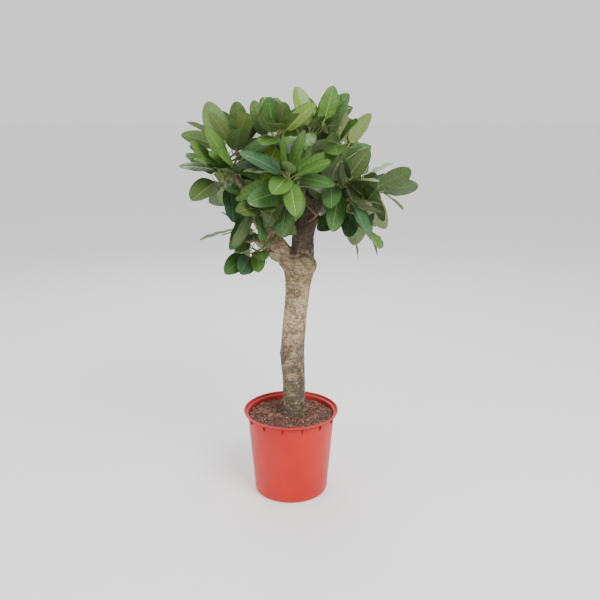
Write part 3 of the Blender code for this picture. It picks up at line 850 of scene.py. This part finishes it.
def stalk_shape(leaf, heading):
    """Points and faces of a leaf's stalk: it leaves the shoot and curves into the midrib's underside."""
    length = (leaf.neck - leaf.root).length
    first = leaf.root + (leaf.neck - leaf.root).normalized().lerp(heading, 0.35) * length * 0.35
    last = leaf.neck - leaf.along * length * 0.35
    path = []
    for k in range(8):
        t = k / 7
        a, b, c = leaf.root.lerp(first, t), first.lerp(last, t), last.lerp(leaf.neck, t)
        path.append(a.lerp(b, t).lerp(b.lerp(c, t), t))
    path.append(leaf.spine(0.035) - leaf.face * 0.0009)
    path.append(leaf.spine(0.10) - leaf.face * 0.0010)
    size = 0.8 + 0.35 * leaf.length / LEAF_LENGTH
    radii = [r * size for r in (0.0019, 0.0015, 0.0013, 0.0012, 0.0012, 0.0012, 0.0013, 0.0013, 0.0010, 0.0004)]
    return lofted(tube(path, radii, 7))


def shoot_shape(arc, leaves, mass_name):
    """Points, faces and kinds of one shoot: brown wood that turns green, ringed where leaves sit, and a bud."""
    count = 26
    path = bent(*arc, [k / count for k in range(count + 1)])
    length = sum((b - a).length for a, b in zip(path, path[1:], strict=False))
    draw = random.Random(f"{mass_name} wood {arc[2].x:.4f}")
    radii, kinds = [], []
    run = 0.0
    for i, p in enumerate(path):
        if i:
            run += (p - path[i - 1]).length
        radius = 0.0036 - 0.0012 * (run / length)
        joint = min(((p - leaf.root).length for leaf in leaves), default=1.0)
        radius += 0.0007 * math.exp(-((joint / 0.0028) ** 2))
        radii.append(radius * draw.uniform(0.95, 1.06))
        kinds.append(0 if length - run > LEAFY * 1.15 else 1)
    end_way = (path[-1] - path[-2]).normalized()
    lean = Vector([draw.uniform(-0.2, 0.2) for _ in range(3)])
    for share, radius in ((0.15, 0.0027), (0.5, 0.0020), (0.8, 0.0011)):
        path.append(path[count] + (end_way + lean * share) * BUD * 1.3 * share)
        radii.append(radius)
        kinds.append(2)
    tip = path[count] + (end_way + lean) * BUD * 1.3
    sides = 8
    points, faces = lofted(tube(path, radii, sides), end=tip)
    shades = [kinds[min(i // sides, len(path) - 1)] for i in range((len(path) - 1) * sides)]
    return points, faces, shades + [0] + [2] * sides


def make_foliage(crown, paints, woods):
    """The blades, the stalks and the twigs of each mass, joined each kind apart."""
    stalk_green = plain("stalk_green", (158, 166, 92), 0.45)
    names = list(LEAF_TONES)
    for mass in MASSES:
        blades, stalks, twigs = Batch(), Batch(), Batch()
        for arc, leaves in crown[mass.name]:
            draw = random.Random(f"{mass.name} looks {arc[2].x:.4f}")
            mean = spray_tone(arc, draw)
            for leaf in leaves:
                shade = names.index(leaf_tone(leaf, mean, draw))
                points, faces, kinds = blade_shape(leaf, draw)
                blades.add(points, faces, kinds + len(LEAF_PARTS) * shade)
                stalks.add(*stalk_shape(leaf, (arc[2] - arc[1]).normalized()), 0)
            twigs.add(*shoot_shape(arc, leaves, mass.name))
        twigs.add(*stem_shape(mass), 0)
        for shape in spurs(mass):
            twigs.add(*shape, 0)
        for name, batch, materials, slot in (
            ("blades_", blades, paints, "leaf"),
            ("stalks_", stalks, [stalk_green], "leaf"),
            ("twigs_", twigs, woods, "leaf"),
        ):
            made = face_outwards(batch.build(name + mass.name, materials))
            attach(made, "root")
            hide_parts("foliage_" + mass.name)


def spray_tone(arc, draw):
    """How much painted light a shoot's leaves get, from 0 in the dark of the crown to 1 on its sunny top."""
    tip = arc[2]
    out = (tip - HEART).length
    return 0.28 + max(2.0 * (tip.z - 1.10), 1.5 * (1.06 - tip.z)) + 1.0 * (out - 0.18) + draw.uniform(-0.16, 0.16)


def leaf_tone(leaf, mean, draw):
    """The name of a leaf's colour, from its spray's painted light and its own age."""
    light = mean + 0.22 * (0.5 - leaf.age) + draw.uniform(-0.16, 0.16)
    if light > 0.78:
        return "lime"
    if light > 0.52:
        return "fresh"
    if light > 0.28:
        return draw.choice(("mid", "mid", "fresh", "mid", "sea", "olive"))
    if light > 0.05:
        return draw.choice(("deep", "deep", "sea", "olive"))
    return "shade"


def stem_shape(mass):
    """Points and faces of a mass's stem, along the same line as its solid's."""
    rough = stem_path(mass)
    controls = tuple((*p, r) for p, r in zip(rough, (BRANCH_R[1], STEM_R * 1.1, STEM_R, SHOOT_R[0]), strict=True))
    count = 14
    found = [spline(controls, k / count) for k in range(count + 1)]
    draw = random.Random(mass.name + " stem")
    return lofted(tube([Vector(s[:3]) for s in found], [s[3] * draw.uniform(0.94, 1.05) for s in found], 9))


def spurs(mass):
    """Short bare twiglets, each with a kink and a blunt bud, on a mass's small bough and stem."""
    draw = random.Random(mass.name + " spurs")
    wood, _ = stations(branch_controls(mass), 0.01)
    line = wood[len(wood) // 3 :] + stem_path(mass)[1:]
    made = []
    for _ in range(SPURS):
        i = draw.randrange(len(line) - 1)
        start = line[i].lerp(line[i + 1], draw.random())
        way = (line[i + 1] - line[i]).normalized()
        off = Vector([draw.gauss(0, 1) for _ in range(3)])
        off = (off - way * off.dot(way)).normalized()
        length = draw.uniform(0.022, 0.062)
        first = (way * 0.5 + off).normalized()
        second = (first + Vector([draw.uniform(-0.5, 0.5) for _ in range(3)]) + Vector((0, 0, 0.25))).normalized()
        knee = start + first * length * 0.55
        tip = knee + second * length * 0.45
        path = bent(start, knee, tip, [k / 6 for k in range(7)])
        made.append(lofted(tube(path, [0.0020 - 0.00017 * k for k in range(7)], 6), end=tip + second * 0.004))
    for ends in BARE_TWIGS.get(mass.name, ()):
        start, knee, tip = (Vector(p) for p in ends)
        path = bent(start, knee, tip, [k / 12 for k in range(13)])
        sizes = [0.0027 - 0.0001 * k + (0.0009 if k % 4 == 3 else 0) for k in range(13)]
        made.append(lofted(tube(path, sizes, 7), end=tip + (tip - knee).normalized() * 0.005))
    return made


def make_bark(paint):
    """Trunk and boughs as one skin, with the relief of the bark, its knots and the scars of old twigs."""
    skin = Batch()
    for name, controls, _, knots in limb_plans()[:3]:
        points, faces = limb_shape(controls, BARK_SIDES, knots, BARK_STEP)
        skin.add(points, faces, 0)
    bark = face_outwards(skin.build("bark", [paint]))
    remesh = bark.modifiers.new("remesh", "REMESH")
    remesh.mode = "VOXEL"
    remesh.voxel_size = BARK_GRAIN
    smooth = bark.modifiers.new("smooth", "SMOOTH")
    smooth.factor = 0.5
    smooth.iterations = 5
    apply_modifiers(bark)
    smooth_fork(bark)
    mesh = bark.data
    count = len(mesh.vertices)
    places, normals = np.empty(count * 3), np.empty(count * 3)
    mesh.vertices.foreach_get("co", places)
    mesh.vertices.foreach_get("normal", normals)
    places, normals = places.reshape(-1, 3), normals.reshape(-1, 3)
    lift = np.array([relief(Vector(p)) for p in places])
    foot = SOIL_TOP + GAP
    level = np.clip((places[:, 2] - foot) / 0.004, 0, 1)
    moved = places + normals * (lift * level)[:, None]
    moved[:, 2] = np.maximum(moved[:, 2], foot)
    mesh.vertices.foreach_set("co", moved.ravel())
    mesh.shade_smooth()
    mesh.update()
    if not mesh.materials:
        mesh.materials.append(paint)
    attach(bark, "root")
    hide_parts("trunk", "bough_right", "bough_left")


def smooth_fork(bark):
    """Draws the right bough and the trunk's top into one another, without a crease."""
    group = bark.vertex_groups.new(name="fork")
    middle = Vector(FORK)
    for vertex in bark.data.vertices:
        near = 1 - (vertex.co - middle).length / FORK_REACH
        if near > 0:
            group.add([vertex.index], min(1.0, 2 * near), "REPLACE")
    smooth = bark.modifiers.new("fork", "SMOOTH")
    smooth.vertex_group = "fork"
    smooth.factor = 0.5
    smooth.iterations = 40
    apply_modifiers(bark)


def relief(p):
    """How far the bark stands out at a place: slow swellings, cross wrinkles, small bumps and scars."""
    slow = noise.noise(Vector((p.x * 26, p.y * 26, p.z * 15)))
    wrinkle = noise.noise(Vector((p.x * 60, p.y * 60, p.z * 210)))
    bumps = noise.noise(p * 115)
    lift = 0.0013 * slow + 0.00045 * wrinkle + 0.0006 * bumps
    for middle, reach in SCARS:
        away = (p - Vector(middle)).length
        if away < 2.2 * reach:
            lift += 0.0016 * math.exp(-(((away - reach) / (0.28 * reach)) ** 2))
            lift -= 0.0022 * math.exp(-((away / (0.42 * reach)) ** 2))
    return lift


def make_branches(paint):
    """The small bough of each mass, with a swollen foot, uneven wood and rings of old leaf scars."""
    for mass in MASSES:
        path, radii = stations(branch_controls(mass), 0.004)
        draw = random.Random(mass.name + " branch")
        offset = Vector([draw.uniform(0, 50) for _ in range(3)])
        sizes = []
        for i, (p, r) in enumerate(zip(path, radii, strict=True)):
            foot = 0.45 * math.exp(-(((p - path[0]).length - 0.03) / 0.018) ** 2)
            swelling = 0.07 * noise.noise(p * 60 + offset)
            ring = 0.05 if i % 7 == 3 else 0.0
            sizes.append(r * (0.97 + foot + swelling + ring))
        rings = tube(path, sizes, 18, RING_HINT)
        for ring, centre in zip(rings, path, strict=True):
            for k, p in enumerate(ring):
                ring[k] = p + (p - centre) * 0.10 * noise.noise(p * 130)
        branch = mesh_object("branch_bark_" + mass.name, *lofted(rings), [paint])
        face_outwards(branch)
        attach(branch, "root")
        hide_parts("branch_" + mass.name)


def turned(profile, sides):
    """Points and faces of a solid turned about Z from (radius, height) points that begin and end on it."""
    rings = []
    for radius, height in profile[1:-1]:
        angles = [2 * math.pi * k / sides for k in range(sides)]
        rings.append([Vector((radius * math.cos(a), radius * math.sin(a), height)) for a in angles])
    return lofted(rings, Vector((0, 0, profile[0][1])), Vector((0, 0, profile[-1][1])))


def rounded(profile, size, steps=4):
    """A (radius, height) profile with each inner corner turned into an arc no longer than size."""
    made = [profile[0]]
    for before, corner, after in zip(profile, profile[1:], profile[2:], strict=False):
        a, b, c = (Vector((*p, 0)) for p in (before, corner, after))
        start = b + (a - b).normalized() * min(size, (a - b).length * 0.45)
        end = b + (c - b).normalized() * min(size, (c - b).length * 0.45)
        for k in range(steps + 1):
            t = k / steps
            made.append(tuple(start.lerp(b, t).lerp(b.lerp(end, t), t))[:2])
    return [*made, profile[-1]]


def pot_kinds(profile, faces):
    """Each pot face: 0 outside, 1 the groove at the collar's foot, 2 inside; 1 and 2 get darker reds of painted shade.
    """
    step = POT_HEIGHT - COLLAR_HEIGHT
    rim = max(range(len(profile)), key=lambda k: profile[k][1])
    kinds = []
    for k, (radius, height) in enumerate(profile[1:-1], 1):
        groove = k < rim and step + 0.0009 < height < step + 0.0030
        inside = k > rim and radius < RIM_R - LIP + 0.0002
        kinds += [1 if groove else 2 if inside else 0] * POT_SIDES
    return (kinds[:-POT_SIDES] + [0] * POT_SIDES + [2] * POT_SIDES)[: len(faces)]


def make_pot(paints):
    """The pot: a thin tapered wall with a flared collar, a rolled rim, ribs under the collar and a closed floor."""
    step = POT_HEIGHT - COLLAR_HEIGHT
    profile = (
        (0, 0),
        (FOOT_R, 0),
        (FOOT_R + 0.006, 0.003),
        (WALL_FOOT_R, FOOT_HEIGHT),
        (WALL_TOP_R, step),
        (WALL_TOP_R + COLLAR_FOOT, step + 0.0006),
        (WALL_TOP_R + COLLAR_FOOT - 0.0007, step + 0.0012),
        (WALL_TOP_R + COLLAR_FOOT - 0.0003, step + 0.0030),
        (WALL_TOP_R + COLLAR_FOOT + 0.0013, step + 0.0038),
        (RIM_R, POT_HEIGHT - 0.0035),
        (RIM_R - 0.0006, POT_HEIGHT - 0.0008),
        (RIM_R - 0.0016, POT_HEIGHT),
        (RIM_R - LIP + 0.0008, POT_HEIGHT),
        (RIM_R - LIP, POT_HEIGHT - 0.0008),
        (WALL_TOP_R + COLLAR_FOOT - POT_WALL - 0.0006, step + POT_WALL + 0.0010),
        (WALL_TOP_R - POT_WALL, step + POT_WALL - 0.0004),
        (WALL_FOOT_R - POT_WALL, FOOT_HEIGHT),
        (FOOT_R, POT_WALL),
        (0, POT_WALL),
    )
    smooth = rounded(profile, 0.0018)
    points, faces = turned(smooth, POT_SIDES)
    pot = mesh_object("pot_shell", points, faces, paints, pot_kinds(smooth, faces))
    face_outwards(pot)
    pot.data.set_sharp_from_angle(angle=math.radians(50))
    ribs = Batch()
    for k in range(RIB_COUNT):
        angle = 2 * math.pi * (k + RIB_TURN) / RIB_COUNT
        out = Vector((math.cos(angle), math.sin(angle), 0))
        side = Vector((-out.y, out.x, 0)) * RIB_WIDTH * 0.30
        inner = WALL_TOP_R - POT_WALL / 2
        section = (
            out * inner + Vector((0, 0, step + POT_WALL / 2)),
            out * (WALL_TOP_R + COLLAR_FOOT * 0.9) + Vector((0, 0, step + 0.0012)),
            out * (WALL_TOP_R + COLLAR_FOOT * 0.2) + Vector((0, 0, step - RIB_HEIGHT * 0.9)),
            out * (inner + 0.0004) + Vector((0, 0, step - RIB_HEIGHT)),
        )
        ribs.add(*lofted([[p - side for p in section], [p + side for p in section]]), 0)
    # the ribs take the groove's dark red: painted shade under the collar
    rib_piece = face_outwards(ribs.build("pot_ribs", [paints[1]], smooth=False))
    for piece in (pot, rib_piece):
        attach(piece, "root")
        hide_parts("pot")


def soil_height(x, y):
    """The height of the soil's lumpy top at a place."""
    away = math.hypot(x, y)
    lumps = 0.0022 * noise.noise(Vector((x * 38, y * 38, 3))) + 0.0011 * noise.noise(Vector((x * 110, y * 110, 9)))
    return SOIL_TOP - SOIL_DISH * (away / WALL_TOP_R) ** 2 + lumps


def make_soil(paint):
    """The soil's lumpy top down to its foot, and chips and fibres of bark that lie on it."""
    step = POT_HEIGHT - COLLAR_HEIGHT
    slope = (WALL_TOP_R - WALL_FOOT_R) / (step - FOOT_HEIGHT)
    edge = WALL_TOP_R - POT_WALL - slope * (step - SOIL_TOP + SOIL_DISH) - 4 * GAP
    rings = []
    for i in range(1, SOIL_RINGS + 1):
        radius = edge * i / SOIL_RINGS
        angles = [2 * math.pi * k / SOIL_SIDES for k in range(SOIL_SIDES)]
        spots = [(radius * math.cos(a), radius * math.sin(a)) for a in angles]
        rings.append([Vector((x, y, soil_height(x, y))) for x, y in spots])
    wall = WALL_FOOT_R - POT_WALL - 0.0015
    for radius, height in ((wall, FOOT_HEIGHT + 0.003), (FOOT_R - 0.002, POT_WALL + GAP)):
        rings.append([Vector((p.x, p.y, 0)).normalized() * radius + Vector((0, 0, height)) for p in rings[-1]])
    shape = lofted(rings, Vector((0, 0, SOIL_TOP)), Vector((0, 0, POT_WALL + GAP)))
    soil = face_outwards(mesh_object("soil_body", *shape, [paint]))
    browns = ((144, 98, 80), (120, 80, 66), (164, 120, 98), (96, 62, 52), (190, 150, 126), (70, 47, 40), (214, 190, 164))
    chips = Batch()
    draw = random.Random("chips")
    trunk = Vector(TRUNK[0][:2])
    while len(chips.points) < CHIP_COUNT:
        angle, away = draw.uniform(0, 2 * math.pi), (edge - 0.003) * math.sqrt(draw.uniform(0, 1))
        x, y = away * math.cos(angle), away * math.sin(angle)
        if (Vector((x, y)) - trunk).length < TRUNK[0][3] + 0.001:
            continue
        chips.add(*chip(draw, x, y), draw.choices(range(7), (6, 6, 4, 6, 1.0, 5, 0.18))[0])
    materials = [plain(f"chip_{k}", colour, 0.9) for k, colour in enumerate(browns)]
    litter = chips.build("soil_chips", materials, smooth=False)
    for piece in (soil, litter):
        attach(piece, "root")
        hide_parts("soil")


def chip(draw, x, y):
    """Points and faces of one flake or fibre of bark, lying tilted on the soil."""
    fibre = draw.random() < 0.45
    length = draw.uniform(0.009, 0.026) if fibre else draw.uniform(0.004, 0.013)
    width = draw.uniform(0.0009, 0.0018) if fibre else length * draw.uniform(0.35, 0.8)
    thick = draw.uniform(0.0005, 0.0012)
    turn, tilt, roll = draw.uniform(0, 6.28), draw.gauss(0, 0.28), draw.gauss(0, 0.4)
    along = Vector((math.cos(turn) * math.cos(tilt), math.sin(turn) * math.cos(tilt), math.sin(tilt)))
    side = Vector((-math.sin(turn), math.cos(turn), 0)) * math.cos(roll) + Vector((0, 0, math.sin(roll)))
    up = along.cross(side).normalized()
    side = up.cross(along)
    middle = Vector((x, y, soil_height(x, y) + thick * 0.5 + 0.0003 + draw.uniform(0, 0.0012)))
    bow = draw.uniform(-0.15, 0.15) * length
    rings = []
    for share in (-0.5, 0.0, 0.5):
        narrow = 1 if share == 0 else draw.uniform(0.4, 0.9)
        spot = middle + along * length * share + up * bow * (share * share * 4 - 0.5)
        half, rise = side * width / 2 * narrow, up * thick / 2 * narrow
        rings.append([spot - half - rise, spot + half - rise, spot + half + rise, spot - half + rise])
    return lofted(rings)


# Studio

def aim(item, spot):
    """Turns a light towards a point."""
    item.rotation_euler = (Vector(spot) - item.location).to_track_quat("-Z", "Y").to_euler()


def area_light(name, place, target, size, power, colour=(1, 1, 1)):
    """A square soft light."""
    lamp = bpy.data.lights.new(name, "AREA")
    lamp.shape = "SQUARE"
    lamp.size = size
    lamp.energy = power
    lamp.color = colour
    item = bpy.data.objects.new(name, lamp)
    bpy.context.scene.collection.objects.link(item)
    item.location = place
    aim(item, target)


def make_studio():
    """A pale floor, soft lights and the camera at the photograph's angle."""
    floor = mesh_object(
        "floor", [(-30, -30, 0), (30, -30, 0), (30, 30, 0), (-30, 30, 0)], [(0, 1, 2, 3)], [floor_paint()], smooth=False
    )
    world = bpy.data.worlds.new("studio")
    world.use_nodes = True
    sky = world.node_tree.nodes["Background"]
    sky.inputs["Color"].default_value = (1.0, 1.0, 1.0, 1.0)
    sky.inputs["Strength"].default_value = 0.80 * STUDIO
    bpy.context.scene.world = world
    area_light("key", (1.5, -2.1, 3.3), (0, 0, 0.9), 1.8, 115 * STUDIO)
    area_light("fill", (-2.6, -2.4, 1.8), (0, 0, 0.8), 2.4, 30 * STUDIO)
    area_light("rim", (-0.6, 2.6, 3.0), (0, 0, 1.1), 2.0, 40 * STUDIO)
    lens = bpy.data.cameras.new("camera")
    lens.lens = 45.15
    lens.sensor_width = 36
    camera = bpy.data.objects.new("camera", lens)
    bpy.context.scene.collection.objects.link(camera)
    camera.location = (0.0325, -2.516, 1.4148)
    camera.rotation_euler = (math.radians(74.46), 0, 0)
    bpy.context.scene.camera = camera


make_studio()
make_bark(bark_paint("bark_mottled", 0.84))
make_branches(bark_paint("bark_branch", 0.85))
make_pot([
    pot_paint("pot_plastic", 214, 24, 11),
    # painted shade: a dark red for the groove at the collar's foot and for the ribs
    pot_paint("pot_groove", 132, 18, 12),
    # painted shade: a darker copy of the pot's red for its inside
    pot_paint("pot_inside", 176, 40, 34),
])
make_soil(soil_paint())
woods = [
    plain("twig_brown", (128, 104, 82), 0.8),
    plain("twig_green", (126, 134, 70), 0.55),
    plain("bud_green", (150, 168, 84), 0.45),
]
make_foliage(grow_crown(), leaf_paints(), woods)
